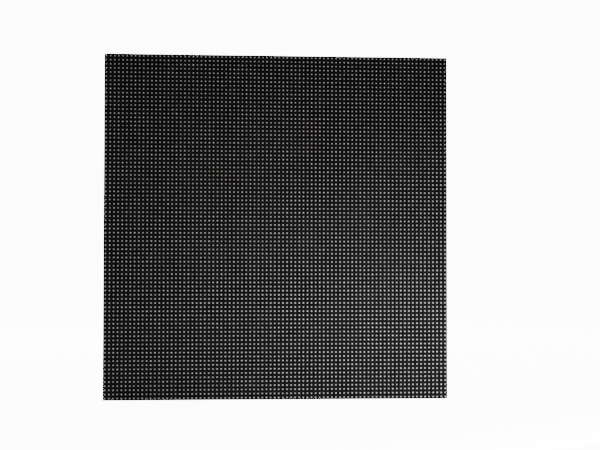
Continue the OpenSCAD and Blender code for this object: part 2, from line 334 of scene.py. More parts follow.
def place_grid(tree):
    """Places the lamp grid group at the module's pitch and returns its outputs."""
    made = node(tree, "ShaderNodeGroup", node_tree=LAMP_GRID)
    made.inputs["Pitch"].default_value = PITCH
    return made.outputs


print("nodes in the lamp grid group:", len(LAMP_GRID.nodes))

# %% [markdown]
# ## Finishes
#
# Frame, chips and headers are cast or moulded in black resin. An image of plastic would blur close
# up, so each finish is two near colours that the grain group mixes, with a roughness that drifts
# between two values.

# %% Moulded finish
def moulded(name, dark, light, grain, bump, rough):
    """A moulded or cast surface: two near colours, a grain per metre, its depth in mm, and the
    least and greatest roughness."""
    material, tree, shader = new_material(name)
    height, patches = place_grain(tree, grain)
    blend = math_node(tree, "MULTIPLY", math_node(tree, "ADD", height, patches), 0.5)
    feed(tree, shader.inputs["Base Color"], mix_color(tree, blend, dark, light))
    least, greatest = rough
    drift = math_node(tree, "MULTIPLY_ADD", patches, greatest - least, least)
    feed(tree, shader.inputs["Roughness"], drift)
    add_bump(tree, shader, height, bump * MM)
    return material


FRAME_PLASTIC = moulded("frame_plastic", (0.012, 0.012, 0.013), (0.022, 0.022, 0.024),
                        5000, 0.03, (0.45, 0.65))
CHIP_RESIN = moulded("chip_resin", (0.014, 0.014, 0.014), (0.024, 0.024, 0.023),
                     9000, 0.01, (0.5, 0.65))
HEADER_PLASTIC = moulded("header_plastic", (0.016, 0.016, 0.017), (0.028, 0.028, 0.03),
                         6000, 0.01, (0.35, 0.5))
SUPPLY_PLASTIC = moulded("supply_plastic", (0.70, 0.67, 0.58), (0.78, 0.75, 0.66),
                         6000, 0.01, (0.35, 0.5))
CERAMIC_TAN = moulded("capacitor_ceramic", (0.28, 0.19, 0.11), (0.36, 0.25, 0.15),
                      9000, 0.005, (0.35, 0.5))
CERAMIC_BLACK = moulded("resistor_ceramic", (0.02, 0.02, 0.024), (0.035, 0.035, 0.04),
                        9000, 0.005, (0.3, 0.4))
moulded_finishes = (FRAME_PLASTIC, CHIP_RESIN, HEADER_PLASTIC, SUPPLY_PLASTIC, CERAMIC_TAN, CERAMIC_BLACK)
print("moulded and cast:", [finish.name for finish in moulded_finishes])

# %% [markdown]
# Pins, nuts, screws, inserts, magnets and cans are bare metal. Drawing or turning leaves fine
# lines in it. A noise that is stretched along one direction gives such lines, and changes both
# tint and roughness, so that highlights break up.

# %% Metal finish
STREAKS = (900, 900, 9000)  # lines per metre along X, Y and Z


def metal(name, color, rough, streaks=STREAKS, drift=0.08):
    """A metal with drawn streaks that change its roughness and tint a little."""
    material, tree, shader = new_material(name)
    stretch = node(tree, "ShaderNodeMapping")
    stretch.inputs["Scale"].default_value = streaks
    tree.links.new(object_place(tree), stretch.inputs["Vector"])
    noise = node(tree, "ShaderNodeTexNoise")
    noise.inputs["Scale"].default_value = 1.0
    noise.inputs["Detail"].default_value = 4
    tree.links.new(stretch.outputs["Vector"], noise.inputs["Vector"])
    lines = noise.outputs["Fac"]
    dull = tuple(0.78 * c for c in color)
    feed(tree, shader.inputs["Base Color"], mix_color(tree, lines, dull, color))
    shader.inputs["Metallic"].default_value = 1
    feed(tree, shader.inputs["Roughness"], math_node(tree, "MULTIPLY_ADD", lines, drift * 2, rough - drift))
    add_bump(tree, shader, lines, 0.01 * MM, 0.4)
    return material


CAN_METAL = metal("can_aluminium", (0.82, 0.83, 0.85), 0.3)
TIN = metal("contact_tin", (0.78, 0.78, 0.79), 0.32)
GOLD = metal("contact_gold", (0.95, 0.74, 0.36), 0.25)
BRASS = metal("insert_brass", (0.85, 0.64, 0.32), 0.32)
NUT_METAL = metal("nut_steel", (0.72, 0.72, 0.71), 0.35)
SCREW_METAL = metal("screw_steel", (0.66, 0.67, 0.69), 0.32)
MAGNET_METAL = metal("magnet_nickel", (0.80, 0.80, 0.80), 0.22, (60, 60, 60), 0.05)
metals = (CAN_METAL, TIN, GOLD, BRASS, NUT_METAL, SCREW_METAL, MAGNET_METAL)
print("metals:", [finish.name for finish in metals])

# %% [markdown]
# The board is a woven laminate under dark green-black lacquer. The weave shows only as a faint
# checker below the gloss, so a checker texture adds a little to the patches' tone.

# %% Board finish
def solder_mask():
    """Dark lacquer over the board's weave: glossy patches, with a faint cross weave below."""
    material, tree, shader = new_material("board_laminate")
    height, patches = place_grain(tree, 3000.0, patch=30.0)
    weave = node(tree, "ShaderNodeTexChecker")
    weave.inputs["Scale"].default_value = 2200.0
    tree.links.new(object_place(tree), weave.inputs["Vector"])
    tone = math_node(tree, "MULTIPLY_ADD", weave.outputs["Fac"], 0.12, patches)
    feed(tree, shader.inputs["Base Color"],
         mix_color(tree, tone, (0.004, 0.006, 0.006), (0.010, 0.014, 0.013)))
    feed(tree, shader.inputs["Roughness"], math_node(tree, "MULTIPLY_ADD", height, 0.2, 0.32))
    add_bump(tree, shader, height, 0.005 * MM)
    return material


BOARD_LAMINATE = solder_mask()
print("board:", BOARD_LAMINATE.name)

# %% Finishes of the construction's own pieces
FINISHES = {
    "circuit_board": BOARD_LAMINATE,
    "driver_chips": CHIP_RESIN,
    "row_driver_chips": CHIP_RESIN,
    "buffer_chips": CHIP_RESIN,
    "decoupling_capacitors": CERAMIC_TAN,
    "resistor_arrays": CERAMIC_BLACK,
    "bulk_capacitors": CAN_METAL,
    "power_header": SUPPLY_PLASTIC,
    "power_pins": TIN,
    "signal_in_header": HEADER_PLASTIC,
    "signal_in_pins": GOLD,
    "signal_out_header": HEADER_PLASTIC,
    "signal_out_pins": GOLD,
    "rear_frame": FRAME_PLASTIC,
    "board_nuts": NUT_METAL,
    "frame_screws": SCREW_METAL,
    "magnets": MAGNET_METAL,
}
for name, finish in FINISHES.items():
    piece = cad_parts[name]
    piece.data.materials.clear()
    piece.data.materials.append(finish)
print("pieces of the construction with a finish:", len(FINISHES))

# %% [markdown]
# ## The mask's finish
#
# The mask is matt black plastic with a coarse spark-eroded grain. Light catches the crossings of
# its bars a little more than the bars, and that light is painted into the colour as a highlight.
# The distance from the lamp, in pitches, says where a crossing is, so one ramp over it paints the
# crossings lighter, the grain breaks that painted highlight into specks, and a second ramp dimples
# them.

# %% Mask finish
MATT_SPECULAR = 0.015


def mask_finish():
    """Matt black plastic, granular along the bars, with a painted highlight that makes the crossings a
    little lighter.
    """
    material, tree, shader = new_material("mask_plastic")
    grid = place_grid(tree)
    grains, _ = place_grain(tree, 7000.0)
    # Painted highlight: the crossings are made lighter in colour, as where light catches them, and the
    # grain's specks break it up.
    crossing = ramp(tree, grid["Radius"], [(0.50, grey(0.06)), (0.58, grey(0.12)), (0.66, grey(1))])
    specks = ramp(tree, grains, [(0.35, grey(0.25)), (0.6, grey(1))])
    blend = math_node(tree, "MULTIPLY", crossing, specks)
    colour = mix_color(tree, blend, (0.0010, 0.0012, 0.0014), (0.075, 0.078, 0.084))
    feed(tree, shader.inputs["Base Color"], colour)
    shader.inputs["Roughness"].default_value = 0.62
    shader.inputs["Specular IOR Level"].default_value = MATT_SPECULAR
    dimple = ramp(tree, grid["Radius"], [(0.66, grey(1)), (0.69, grey(0.2))])
    height = math_node(tree, "ADD", math_node(tree, "MULTIPLY", grains, 0.35), dimple)
    add_bump(tree, shader, height, 0.06 * MM)
    return material


MASK_PLASTIC = mask_finish()
print("finish of the mask:", MASK_PLASTIC.name)

# %% [markdown]
# ## The mask lattice
#
# On the real module the mask is one moulding with a square window over every lamp. Each window
# could be cut with a boolean, but seven thousand cuts would take minutes. The lattice is regular,
# so its points come straight from a formula: three rings of four corners to a window, from the
# foot of the wall to the chamfer, and flat strips between the rings of neighbouring windows, at
# the front and against the board.

# %% Points of one window
BAR = 0.6 * MM
CHAMFER = 0.1 * MM
FOOT, SHOULDER, FRONT, POINTS_EACH = 0, 4, 8, 12  # first point of each ring, and points in all


def window_points(x0, x1, z0, z1):
    """Foot ring, shoulder ring and front ring of a window, four corners each."""
    points = []
    for out, depth in ((0, BOARD_FRONT), (0, MASK_FRONT + CHAMFER), (CHAMFER, MASK_FRONT)):
        points += [(x0 - out, depth, z0 - out), (x1 + out, depth, z0 - out),
                   (x1 + out, depth, z1 + out), (x0 - out, depth, z1 + out)]
    return points


def corner(row, column, index):
    """The number of one point of one window in the whole lattice."""
    return (row * LAMPS + column) * POINTS_EACH + index


print(f"windows of {(PITCH - BAR) / MM:.2f} mm between bars of {BAR / MM:.1f} mm")


# %% All windows and the strips between them
def lattice():
    """Every window's rings, and the strips between them at the front and against the board."""
    points, faces = [], []
    lines = [k * PITCH - HALF for k in range(LAMPS + 1)]
    walls = ring_walls(FOOT, SHOULDER) + ring_walls(SHOULDER, FRONT)
    for row in range(LAMPS):
        for column in range(LAMPS):
            base = len(points)
            points += window_points(lines[column] + BAR / 2, lines[column + 1] - BAR / 2,
                                    lines[row] + BAR / 2, lines[row + 1] - BAR / 2)
            faces += [tuple(base + i for i in face) for face in walls]
    for row in range(LAMPS):
        for column in range(LAMPS):
            right, above = column + 1 < LAMPS, row + 1 < LAMPS
            for ring in (FOOT, FRONT):
                if right:
                    faces.append((corner(row, column, ring + 1), corner(row, column + 1, ring),
                                  corner(row, column + 1, ring + 3), corner(row, column, ring + 2)))
                if above:
                    faces.append((corner(row, column, ring + 3), corner(row, column, ring + 2),
                                  corner(row + 1, column, ring + 1), corner(row + 1, column, ring)))
                if right and above:
                    faces.append((corner(row, column, ring + 2), corner(row, column + 1, ring + 3),
                                  corner(row + 1, column + 1, ring), corner(row + 1, column, ring + 1)))
    return points, faces


mask_points, mask_faces = lattice()
print("lattice:", len(mask_points), "points")


# %% The rim round the outermost windows
def rim_runs(ring):
    """Point numbers of the outermost windows at one ring, as four runs round the display."""
    last = LAMPS - 1
    sides = [[(0, k) for k in range(LAMPS)], [(k, last) for k in range(LAMPS)],
             [(last, k) for k in range(last, -1, -1)], [(k, 0) for k in range(last, -1, -1)]]
    return [[corner(row, column, ring + (turn + end) % 4) for row, column in side for end in (0, 1)]
            for turn, side in enumerate(sides)]


def mask_edge(first):
    """The rim round the outermost windows at front and rear, and the four sides; first is its own
    first point number."""
    corners = [(x * HALF, depth, z * HALF) for depth in (MASK_FRONT, BOARD_FRONT)
               for x, z in ((-1, -1), (1, -1), (1, 1), (-1, 1))]
    faces = ring_walls(first, first + 4)
    for ring, base in ((FRONT, first), (FOOT, first + 4)):
        for k, run in enumerate(rim_runs(ring)):
            faces += [(base + k, a, b) for a, b in zip(run, run[1:])]
            faces.append((base + k, run[-1], base + (k + 1) % 4))
    return corners, faces


rim_points, rim_faces = mask_edge(len(mask_points))
print("rim:", len(rim_faces), "faces")

# %% [markdown]
# The mask also carries its injection gate, a glossy nub at the middle of the front, and the
# staked heads of its locating pins behind the board. Both are round, so a short profile is
# turned for each, and the heads are one shape at sixteen places.

# %% Build the mask
GATE_RADIUS = 0.45 * MM
GATE_FOOT = 0.02 * MM  # how deep the nub is rooted in the crossing
# The nub's profile is given in shares of its radius, and the stake's in shares of its height too
GATE = [(0, -GATE_FOOT), (1, -GATE_FOOT), (0.94, 0.05 * MM), (0.7, 0.11 * MM), (0.35, 0.14 * MM),
        (0, GATE_HEIGHT)]
gate_profile = [(GATE_RADIUS * share, MASK_FRONT - rise) for share, rise in GATE]

STAKE_RADIUS, STAKE_HEIGHT = 0.95 * MM, 0.6 * MM
STAKE = [(0, 0), (1, 0), (1, 0.5), (0.8, 0.85), (0, 1)]
stake_profile = [(STAKE_RADIUS * share, BOARD_REAR + rise * STAKE_HEIGHT) for share, rise in STAKE]
PIN_STEPS = (4, 21)  # pitches from the middle
pin_lines = [side * steps * PITCH for steps in PIN_STEPS for side in (-1, 1)]
pin_places = [(x, 0, z) for x in pin_lines for z in pin_lines]

mask = add_piece("mask_lattice", mask_points + rim_points, mask_faces + rim_faces,
                 MASK_PLASTIC, "mask_plastic")
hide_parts("front_mask")
stake_plastic = moulded("stake_plastic", (0.016, 0.016, 0.017), (0.026, 0.026, 0.028),
                        5000, 0.01, (0.25, 0.4))
add_piece("mask_stakes", *repeat(*lathe(stake_profile, 20), pin_places),
          stake_plastic, "mask_plastic", smooth=True)
gate_plastic = moulded("gate_plastic", (0.03, 0.03, 0.032), (0.05, 0.05, 0.055),
                       9000, 0.002, (0.15, 0.25))
add_piece("mask_gate", *lathe(gate_profile, 24), gate_plastic, "mask_plastic", smooth=True)

# %% [markdown]
# ## The lamps
#
# A surface-mount lamp is a dark square package with a round cup, filled with clear resin over
# three tiny dies. At this size the cup reads as a pale disc with a bright middle. The package is
# one small closed mesh, a square box with a conical cup in its face, and the resin fills the
# cup. Both are copied to every cell of the grid, a quarter of the display at a time.

# %% Lamp shapes
PACKAGE_HALF = 1.015 * MM
PACKAGE_RECESS = 0.6 * MM  # behind the mask's front
PACKAGE_FRONT = MASK_FRONT + PACKAGE_RECESS
CUP_RADIUS = 0.80 * MM
CUP_DEPTH = 0.5 * MM
DOME_HEIGHT = 0.14 * MM
CUP_SIDES = 16


def package_shape():
    """A closed square package with a round, conical cup in its face."""
    points = [(x * PACKAGE_HALF, depth, z * PACKAGE_HALF) for depth in (BOARD_FRONT, PACKAGE_FRONT)
              for x, z in ((1, 1), (-1, 1), (-1, -1), (1, -1))]
    face, mouth = 4, 8
    bottom = mouth + CUP_SIDES
    for k in range(CUP_SIDES):
        angle = 2 * math.pi * k / CUP_SIDES
        points.append((CUP_RADIUS * math.cos(angle), PACKAGE_FRONT, CUP_RADIUS * math.sin(angle)))
    points.append((0, PACKAGE_FRONT + CUP_DEPTH, 0))
    faces = [(3, 2, 1, 0)] + ring_walls(0, face)
    quarter = CUP_SIDES // 4
    for side in range(4):
        for step in range(quarter):
            a = mouth + side * quarter + step
            b = mouth + (side * quarter + step + 1) % CUP_SIDES
            faces += [(a, b, face + side), (b, a, bottom)]
        joint = mouth + (side + 1) * quarter % CUP_SIDES
        faces.append((face + side, joint, face + (side + 1) % 4))
    return points, faces


def resin_shape():
    """The resin that fills the cup, bulging a little over its mouth."""
    return lathe([(0, PACKAGE_FRONT + CUP_DEPTH), (CUP_RADIUS, PACKAGE_FRONT),
                  (0, PACKAGE_FRONT - DOME_HEIGHT)], CUP_SIDES)


print(f"one lamp: {len(package_shape()[1])} package faces, {len(resin_shape()[1])} resin faces")

# %% [markdown]
# Light comes back strongest from the middle of the cup, and each lamp is tinted a little
# differently by its dies. Modelled dies would be far smaller than a pixel, so a ramp over the
# distance from the lamp's middle paints that light into the resin's colour, a painted highlight in
# the middle and painted shade towards the rim, and the cell's random colour tints it. The package
# is matt and black, with four pale solder corners.

# %% Lamp finishes
PAINTED_LIGHT_SCALE = 4.0  # its ramp ends a quarter of a pitch from the lamp's middle
CORNER_SPOT = 0.275  # of a pitch, from the lamp's middle to the spot, across and up
SPOT_SCALE = 10.0  # its ramp ends a tenth of a pitch from the spot


def resin_finish():
    """Pale resin with a painted highlight in the middle and painted shade towards the rim, each lamp with
    its own tint.
    """
    material, tree, shader = new_material("lamp_resin")
    grid = place_grid(tree)
    # Painted highlight and painted shade: the colour is bright in the middle of the cup and darker towards
    # its rim.
    glow = ramp(tree, math_node(tree, "MULTIPLY", grid["Radius"], PAINTED_LIGHT_SCALE), [
        (0.0, (0.97, 0.935, 0.90)), (0.25, (0.82, 0.785, 0.755)), (0.5, (0.40, 0.38, 0.365)),
        (0.7, (0.15, 0.142, 0.137)), (0.9, (0.06, 0.057, 0.055))])
    final = node(tree, "ShaderNodeHueSaturation")
    final.inputs["Saturation"].default_value = 0.8
    feed(tree, final.inputs["Color"], mix_color(tree, 0.035, glow, grid["Tint"]))
    feed(tree, final.inputs["Value"], math_node(tree, "MULTIPLY_ADD", grid["Random"], 0.3, 0.85))
    feed(tree, shader.inputs["Base Color"], final.outputs["Color"])
    shader.inputs["Roughness"].default_value = 0.28
    return material


def package_finish():
    """Dark package with four pale solder corners, and a trace of moulding grain."""
    material, tree, shader = new_material("lamp_package")
    grid = place_grid(tree)
    offsets = []
    for axis in ("Across", "Up"):
        away = math_node(tree, "SUBTRACT", math_node(tree, "ABSOLUTE", grid[axis]), CORNER_SPOT)
        offsets.append(math_node(tree, "MULTIPLY", away, away))
    distance = math_node(tree, "SQRT", math_node(tree, "ADD", *offsets))
    spot = ramp(tree, math_node(tree, "MULTIPLY", distance, SPOT_SCALE), [
        (0.0, grey(1)), (0.5, grey(0.6)), (0.8, grey(0))])
    colour = mix_color(tree, spot, (0.004, 0.0038, 0.0036), (0.045, 0.043, 0.041))
    feed(tree, shader.inputs["Base Color"], colour)
    shader.inputs["Roughness"].default_value = 0.6
    shader.inputs["Specular IOR Level"].default_value = MATT_SPECULAR
    height, _ = place_grain(tree, 12000.0)
    add_bump(tree, shader, height, 0.01 * MM)
    return material


LAMP_RESIN = resin_finish()
LAMP_PACKAGE = package_finish()
print("finishes of the lamps:", LAMP_RESIN.name, LAMP_PACKAGE.name)

# %% Build the lamps
centres = [(k + 0.5) * PITCH - HALF for k in range(LAMPS)]
for side_name, xs in (("left", centres[:LAMPS // 2]), ("right", centres[LAMPS // 2:])):
    for level_name, zs in (("lower", centres[:LAMPS // 2]), ("upper", centres[LAMPS // 2:])):
        places = [(x, 0, z) for z in zs for x in xs]
        bank = f"{level_name}_{side_name}"
        add_piece(f"lamp_packages_{bank}", *repeat(*package_shape(), places),
                  LAMP_PACKAGE, "lamp_package")
        resin = add_piece(f"lamp_resin_{bank}", *repeat(*resin_shape(), places),
                          LAMP_RESIN, "lamp_resin", smooth=True)
        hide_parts(f"lamps_{bank}")

# %% [markdown]
# ## The rear of the board
#
# Chips, sockets and small parts come from the construction as plain bodies. What makes them read
# as parts is small: the bent leads, the pads that they stand on, plated ends, the tracks that fan
# out to a row of vias, and the white printed outlines. Each is one small shape, made in board
# coordinates (across, up, height over the rear face, in mm) and repeated at the parts' places.

# %% Places of the parts on the board
WINDOW_DISTANCES = (32.5, 85.5)  # from the middle to the middles of the rear frame's windows
INNER, OUTER = (distance * MM for distance in WINDOW_DISTANCES)
CHIP_OFFSET = 13.25 * MM
SIGNAL_PLACES = [(OUTER, INNER), (-OUTER, INNER)]
POWER_PLACE = (INNER, -INNER)
CAN_PLACE = (-INNER, -INNER)
window_lines = [-INNER, INNER, -OUTER, OUTER]
chip_lines = [place + side * CHIP_OFFSET for place in window_lines for side in (-1, 1)]
driver_places = [(x, z) for x in chip_lines for z in chip_lines]
taken = set(SIGNAL_PLACES) | {POWER_PLACE, CAN_PLACE}
row_driver_places = [(x, z) for x in window_lines for z in window_lines if (x, z) not in taken]
buffer_places = [(x + side * CHIP_OFFSET, z) for x, z in SIGNAL_PLACES for side in (-1, 1)]
print(len(driver_places), "drivers,", len(row_driver_places), "row drivers,", len(buffer_places), "buffers")


# %% Shapes on the board
def on_board(shape, place, turned=False):
    """Moves a shape from board coordinates in mm to its place on the board's rear face."""
    points, faces = shape
    moved = []
    for across, up, height in points:
        if turned:
            across, up = -up, across
        moved.append((place[0] + across * MM, BOARD_REAR + height * MM, place[1] + up * MM))
    return moved, faces


def slab(across, up, height, bevel):
    """A raised patch on the board: (from, to) across, (from, to) up, its height and its bevel."""
    (a0, a1), (u0, u1) = across, up
    points = [(a0, u0, 0), (a1, u0, 0), (a1, u1, 0), (a0, u1, 0),
              (a0 + bevel, u0 + bevel, height), (a1 - bevel, u0 + bevel, height),
              (a1 - bevel, u1 - bevel, height), (a0 + bevel, u1 - bevel, height)]
    return points, ring_walls(0, 4) + [(4, 5, 6, 7), (3, 2, 1, 0)]


def patch(across, up, half_across, half_up, height, bevel):
    """The same, from its middle and its half sizes."""
    return slab((across - half_across, across + half_across), (up - half_up, up + half_up), height, bevel)


def round_shape(profile, sides, across, up, base=0.0, closed=False):
    """A turned profile of (radius, height) at one spot, standing on a base height."""
    points, faces = lathe(profile, sides, closed)
    return [(across + x, up + z, base + y) for x, y, z in points], faces


print("a patch has", len(slab((0, 1), (0, 1), 1, 0)[1]), "faces")

# %% [markdown]
# A chip's lead leaves the body at half its height, bends down and ends in a foot on its pad. Its
# side view is one outline of eight points, drawn once and given the lead's width.

# %% Leads and pads of one chip
DRIVER = {"count": 12, "pitch": 0.635, "reach": 3.0, "waist": 1.95, "width": 0.28}
ROW_DRIVER = {"count": 8, "pitch": 1.27, "reach": 3.0, "waist": 1.95, "width": 0.4}
BUFFER = {"count": 10, "pitch": 0.65, "reach": 3.2, "waist": 2.2, "width": 0.25}


def gull_lead(side, up, reach, waist, width):
    """A lead that leaves the body at half height, bends down and ends in a foot on its pad."""
    toe, knee = reach, waist + 0.35
    top = [(waist - 0.1, 0.94), (knee + 0.05, 0.94), (knee + 0.28, 0.2), (toe, 0.18)]
    low = [(toe, 0.03), (knee + 0.15, 0.04), (knee - 0.07, 0.78), (waist - 0.1, 0.78)]
    outline = top + low
    points = [(side * out, up + edge * width / 2, height) for edge in (-1, 1) for out, height in outline]
    count = len(outline)
    near = [(k, k + 1, count - 2 - k, count - 1 - k) for k in range(len(top) - 1)]
    far = [tuple(count + i for i in reversed(face)) for face in near]
    return points, ring_walls(0, count, count) + near + far


def lead_spots(chip):
    """The side and the height up the chip of every lead, one row after the other."""
    return [(side, (k - (chip["count"] - 1) / 2) * chip["pitch"])
            for side in (-1, 1) for k in range(chip["count"])]


def lead_rows(chip):
    """Both rows of leads of one chip."""
    return joined(*(gull_lead(side, up, chip["reach"], chip["waist"], chip["width"])
                    for side, up in lead_spots(chip)))


PAD_HEIGHT, PAD_BEVEL = 0.03, 0.01
PAD_INSIDE, PAD_BEYOND, PAD_WIDER = 0.75, 0.3, 0.1  # under the foot, past the toe, than the lead


def pad_rows(chip):
    """The tinned pads under those leads, a little longer and wider than the feet."""
    inner, outer = chip["reach"] - PAD_INSIDE, chip["reach"] + PAD_BEYOND
    half = (chip["width"] + PAD_WIDER) / 2
    return joined(*(slab(sorted((side * inner, side * outer)), (up - half, up + half), PAD_HEIGHT, PAD_BEVEL)
                    for side, up in lead_spots(chip)))


print("leads on each kind of chip:", [len(lead_spots(chip)) for chip in (DRIVER, ROW_DRIVER, BUFFER)])

# %% Leads and pads of every chip
chip_kinds = [("driver", DRIVER, driver_places, False),
              ("row_driver", ROW_DRIVER, row_driver_places, False),
              ("buffer", BUFFER, buffer_places, True)]
pads = []
for kind, chip, places, turned in chip_kinds:
    leads = lead_rows(chip)
    add_piece(f"{kind}_leads", *joined(*(on_board(leads, place, turned) for place in places)),
              TIN, "contact_tin")
    pads += [on_board(pad_rows(chip), place, turned) for place in places]

# %% [markdown]
# The passive parts have plated ends that wrap round the ceramic by a few hundredths of a
# millimetre. They are low beveled blocks, a little larger than the ceramic inside. The sockets'
# pins already stand in their own holes; here they get their pads.

# %% Plated ends and the remaining pads
CAPACITOR_UP = 6.4  # from the chip's middle to its capacitor's
ARRAY_UP = -(9.9 / 2 + 6.6 / 2)  # from the row driver's middle to its resistor array's
ARRAY_PITCH, ARRAY_COUNT = 0.8, 4
SOCKET_PITCH, SOCKET_ROW = 2.54, 8

cap_ends = joined(*(patch(side * 0.62, CAPACITOR_UP,
                          half_across=0.21, half_up=0.43, height=0.83, bevel=0.04)
                    for side in (-1, 1)))
array_ends = joined(*(patch((k - (ARRAY_COUNT - 1) / 2) * ARRAY_PITCH, ARRAY_UP + side * 0.7,
                            half_across=0.22, half_up=0.13, height=0.63, bevel=0.03)
                      for k in range(ARRAY_COUNT) for side in (-1, 1)))
ends = [on_board(cap_ends, place) for place in driver_places]
ends += [on_board(array_ends, place) for place in row_driver_places]
add_piece("plated_ends", *joined(*ends), TIN, "contact_tin")

cap_pads = joined(*(patch(side * 0.95, CAPACITOR_UP,
                          half_across=0.3, half_up=0.5, height=0.1, bevel=0.08)
                    for side in (-1, 1)))
signal_pads = joined(*(patch(side * 4.9, (k - (SOCKET_ROW - 1) / 2) * SOCKET_PITCH,
                             half_across=1.0, half_up=0.5, height=PAD_HEIGHT, bevel=PAD_BEVEL)
                       for k in range(SOCKET_ROW) for side in (-1, 1)))
pads += [on_board(cap_pads, place) for place in driver_places]
pads += [on_board(signal_pads, place) for place in SIGNAL_PLACES]
add_piece("solder_pads", *joined(*pads), TIN, "contact_tin")

# %% [markdown]
# ## Tracks, vias and print
#
# From each lead a short track runs out to a via, in two staggered rows. Bundles of straight
# tracks cross the board between the chips and carry the signals from socket to socket. The tracks
# lie under the lacquer, so they are low ribs of the board's own colour, only a little paler.

# %% Tracks and vias of one chip
TRACK, TRACK_HEIGHT, TRACK_BEVEL = 0.16, 0.025, 0.02
TRACK_START = 0.2  # past the toe of the lead
VIA_RING = [(0.12, 0.0), (0.26, 0.0), (0.19, 0.045)]
VIA_SIDES = 6
VIA_NEAR, VIA_FAR = 1.1, 1.9  # past the toe of every second lead, and of the rest


def track_across(start, end, up):
    """A track across the board, from start to end in any order."""
    return slab(sorted((start, end)), (up - TRACK / 2, up + TRACK / 2), TRACK_HEIGHT, TRACK_BEVEL)


def track_up(across, start, end):
    """A track up the board, from start to end."""
    return slab((across - TRACK / 2, across + TRACK / 2), (start, end), TRACK_HEIGHT, TRACK_BEVEL)


def via(across, up):
    """The tinned ring round a small plated hole."""
    return round_shape(VIA_RING, VIA_SIDES, across, up, closed=True)


def fan_out(chip):
    """The tracks and vias beside one chip's leads."""
    tracks, vias = [], []
    for k in range(chip["count"]):
        up = (k - (chip["count"] - 1) / 2) * chip["pitch"]
        end = chip["reach"] + (VIA_NEAR if k % 2 else VIA_FAR)
        for side in (-1, 1):
            tracks.append(track_across(side * (chip["reach"] + TRACK_START), side * end, up))
            vias.append(via(side * end, up))
    return joined(*tracks), joined(*vias)


print("a via has", len(via(0, 0)[1]), "faces")

# %% Every track and via
tracks, vias = [], []
for kind, chip, places, turned in chip_kinds:
    chip_tracks, chip_vias = fan_out(chip)
    tracks += [on_board(chip_tracks, place, turned) for place in places]
    vias += [on_board(chip_vias, place, turned) for place in places]

# Each bundle is given by the distances of its tracks from the middle of a window
BUS_PITCH = 0.42
ROW_BUS = [5.4 + BUS_PITCH * k for k in range(8)]
COLUMN_BUS = [4.9 + BUS_PITCH * k for k in range(5)]
ROW_BUS_END = HALF / MM - 3
# A column's tracks start in two staggered rows below the chip, and each ends a step lower than the last
COLUMN_BUS_ENDS = [(-12 - 0.8 * (k % 2), 4.9 - 0.9 * k) for k in range(len(COLUMN_BUS))]
row_bus = joined(*(track_across(-ROW_BUS_END, ROW_BUS_END, line) for line in ROW_BUS))
for up in window_lines:
    tracks.append(on_board(row_bus, (0, up)))
    for across in window_lines:
        if (across, up) in taken:
            continue
        for side in (-1, 1):
            runs = [(side * line, ends) for line, ends in zip(COLUMN_BUS, COLUMN_BUS_ENDS)]
            column_bus = joined(*(track_up(line, *ends) for line, ends in runs))
            column_vias = joined(*(via(line, end) for line, ends in runs for end in ends))
            tracks.append(on_board(column_bus, (across, up)))
            vias.append(on_board(column_vias, (across, up)))
track_lacquer = moulded("track_lacquer", (0.03, 0.045, 0.04), (0.045, 0.06, 0.055),
                        3000, 0.004, (0.25, 0.4))
add_piece("board_tracks", *joined(*tracks), track_lacquer, "board_laminate")
add_piece("board_vias", *joined(*vias), TIN, "contact_tin")

# %% [markdown]
# White print on the lacquer helps whoever places and mends the parts: a line at each end of a
# chip and of a capacitor, a frame round each socket and round the cans, and a dot at the first
# lead. It is generic and says nothing. A thin raised ink shape keeps its edge at any distance.

# %% Printed outlines
INK_LINE, INK_HEIGHT, INK_BEVEL = 0.15, 0.02, 0.004
DOT = [(0, 0.0), (0.3, 0.0), (0.29, 0.02), (0, 0.02)]


def end_lines(half_across, half_up):
    """Two printed lines, below and above a part."""
    return [patch(0, side * half_up, half_across, INK_LINE / 2, INK_HEIGHT, INK_BEVEL) for side in (-1, 1)]


def printed_frame(half_across, half_up):
    """A printed frame round a part, as four thin strips."""
    return end_lines(half_across, half_up) + [
        patch(side * half_across, 0, INK_LINE / 2, half_up, INK_HEIGHT, INK_BEVEL) for side in (-1, 1)]


def printed_dot(across, up):
    """A small printed disc that marks the first lead."""
    return round_shape(DOT, 12, across, up)


cap_lines = [patch(side * 1.375, CAPACITOR_UP, INK_LINE / 2, 0.6, INK_HEIGHT, INK_BEVEL) for side in (-1, 1)]
chip_print = joined(*end_lines(2.0, 4.75), printed_dot(-3.2, 4.4), *cap_lines)
row_print = joined(*end_lines(2.0, 5.3), printed_dot(-3.2, 5.0))
buffer_print = joined(*end_lines(2.3, 3.6), printed_dot(-3.4, 3.4))
signal_print = joined(*printed_frame(6.4, 14.6), printed_dot(-7.2, 13.6))
printing = [on_board(chip_print, place) for place in driver_places]
printing += [on_board(row_print, place) for place in row_driver_places]
printing += [on_board(buffer_print, place, turned=True) for place in buffer_places]
printing += [on_board(signal_print, place) for place in SIGNAL_PLACES]
printing += [on_board(joined(*printed_frame(9.6, 6.3)), POWER_PLACE),
             on_board(joined(*printed_frame(8.2, 8.2)), CAN_PLACE)]
ink = moulded("printed_ink", (0.62, 0.62, 0.6), (0.75, 0.75, 0.72), 8000, 0.004, (0.5, 0.7))
add_piece("board_print", *joined(*printing), ink, "printed_ink")

# %% [markdown]
# ## Marks on the parts
#
# A chip has a round dimple beside its first lead, left by the mould's ejector. A can capacitor has
# a black segment printed over its negative lead. Both are thin shapes on the part's own top, so
# that they show in the exported mesh too.

# %% Dimples of the chips
DIMPLE = [(0, -0.02), (0.42, -0.02), (0.4, 0.006), (0.32, 0.006), (0, 0.002)]
CHIP_TOP, BUFFER_TOP = 1.6, 1.2


def dimple(across, up, top):
    """A shallow ring on a chip's top face."""
    return round_shape(DIMPLE, 16, across, up, top)


